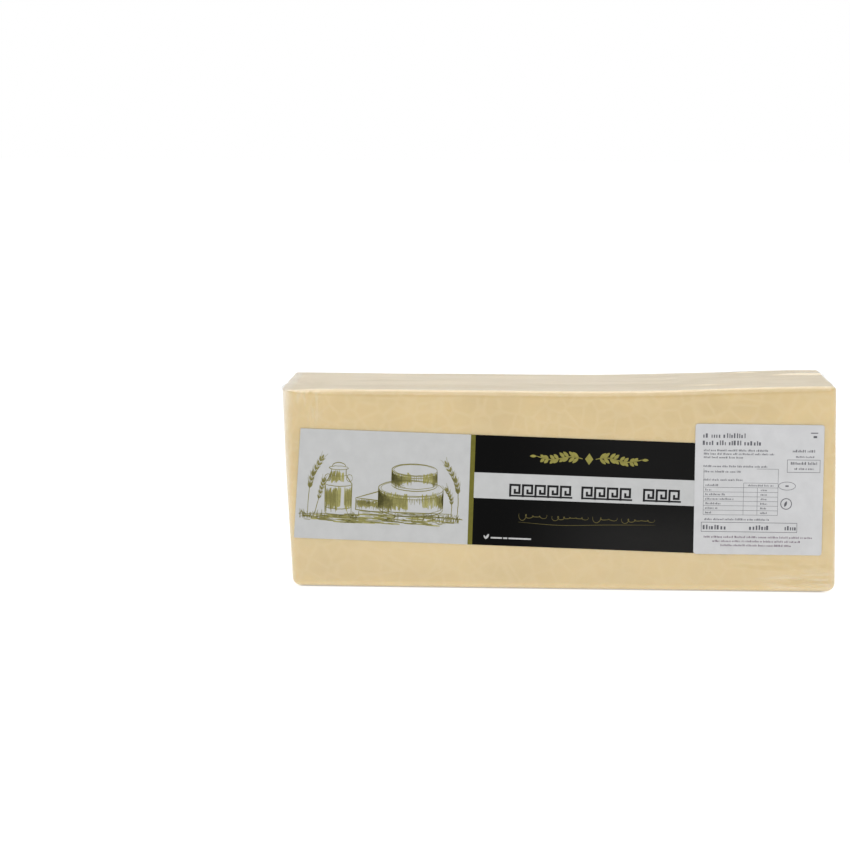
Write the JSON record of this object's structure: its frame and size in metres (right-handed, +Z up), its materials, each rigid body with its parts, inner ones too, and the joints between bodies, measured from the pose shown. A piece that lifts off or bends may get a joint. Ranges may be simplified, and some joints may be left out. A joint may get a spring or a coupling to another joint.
{
  "type": "vacuum-packed cheddar block",
  "caption": "Long rectangular block of pale cheddar sealed in tight clear film, with a long printed label and a white weight label on its front.",
  "frame": {"origin": "under the middle of the block, on the surface that it stands on", "axes": "+X along the block to the right as its front is seen, -Y out of the labelled front, +Z up"},
  "size_m": [0.344, 0.0936, 0.1295],
  "materials": {
    "cheese_in_film": "pale cheddar seen through tight, clear, slightly wrinkled gloss film",
    "long_label_paper": "printed coated paper, pale grey panel, olive stripe and black panel with a pale band",
    "weight_label_paper": "smooth matt white thermal paper with grey print"
  },
  "bodies": {
    "root": {"sealed_block": "cheese_in_film", "long_label": "long_label_paper", "weight_label": "weight_label_paper"}
  },
  "joints": []
}
